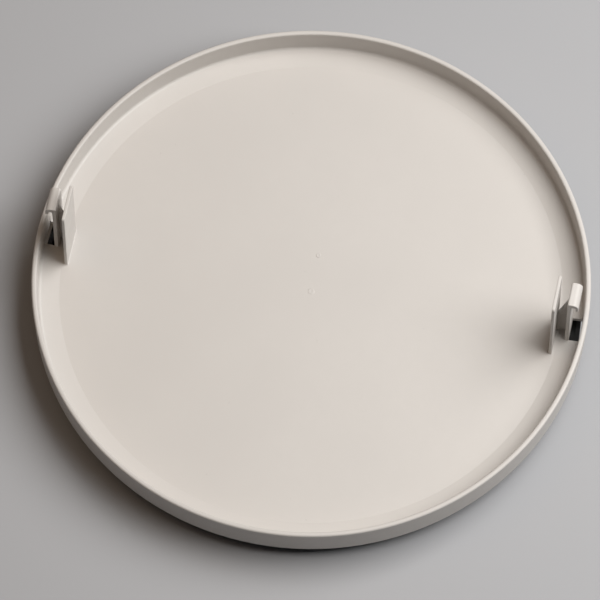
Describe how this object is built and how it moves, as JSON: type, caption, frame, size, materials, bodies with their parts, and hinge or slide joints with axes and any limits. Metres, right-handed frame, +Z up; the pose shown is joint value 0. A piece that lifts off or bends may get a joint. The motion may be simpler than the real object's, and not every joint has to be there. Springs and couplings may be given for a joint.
{
  "type": "lazy susan turntable",
  "caption": "Round shallow off-white dish with two upright hooked clips inside its rim, turning on a ball ring over a low dark footed base.",
  "frame": {"origin": "on the table under the turning axis", "axes": "+Z up along the turning axis, +X towards the right clip, -Y towards the viewer"},
  "size_m": [0.2499, 0.25, 0.057],
  "materials": {
    "tray_plastic": "satin off-white moulding",
    "base_plastic": "fine-textured dark grey moulding",
    "cage_plastic": "natural acetal",
    "bush_plastic": "natural nylon",
    "race_steel": "zinc-plated pressed steel",
    "screw_steel": "zinc-plated",
    "ball_steel": "polished",
    "foot_rubber": "matt"
  },
  "bodies": {
    "base": {"base_disc": "base_plastic", "lower_race": "race_steel", "lower_race_screws": "screw_steel", "pivot_bush": "bush_plastic", "thrust_washer": "screw_steel", "pivot_cover": "base_plastic", "foot_1": "foot_rubber", "foot_2": "foot_rubber", "foot_3": "foot_rubber", "foot_4": "foot_rubber", "foot_5": "foot_rubber", "foot_6": "foot_rubber"},
    "cage": {"ball_cage": "cage_plastic", "bearing_balls": "ball_steel"},
    "tray": {"tray_shell": "tray_plastic", "right_clip": "tray_plastic", "left_clip": "tray_plastic", "upper_race": "race_steel", "upper_race_screws": "screw_steel", "pivot_screw": "screw_steel"}
  },
  "joints": [
    {"name": "tray_spin", "type": "hinge", "parent": "base", "child": "tray", "pos_m": [0, 0, 0.0049], "axis": [0, 0, 1], "continuous": true},
    {"name": "cage_spin", "type": "hinge", "parent": "base", "child": "cage", "pos_m": [0, 0, 0.00605], "axis": [0, 0, 1], "continuous": true}
  ],
  "couplings": [
    {"joint": "cage_spin", "follows": "tray_spin", "ratio": 0.5}
  ]
}
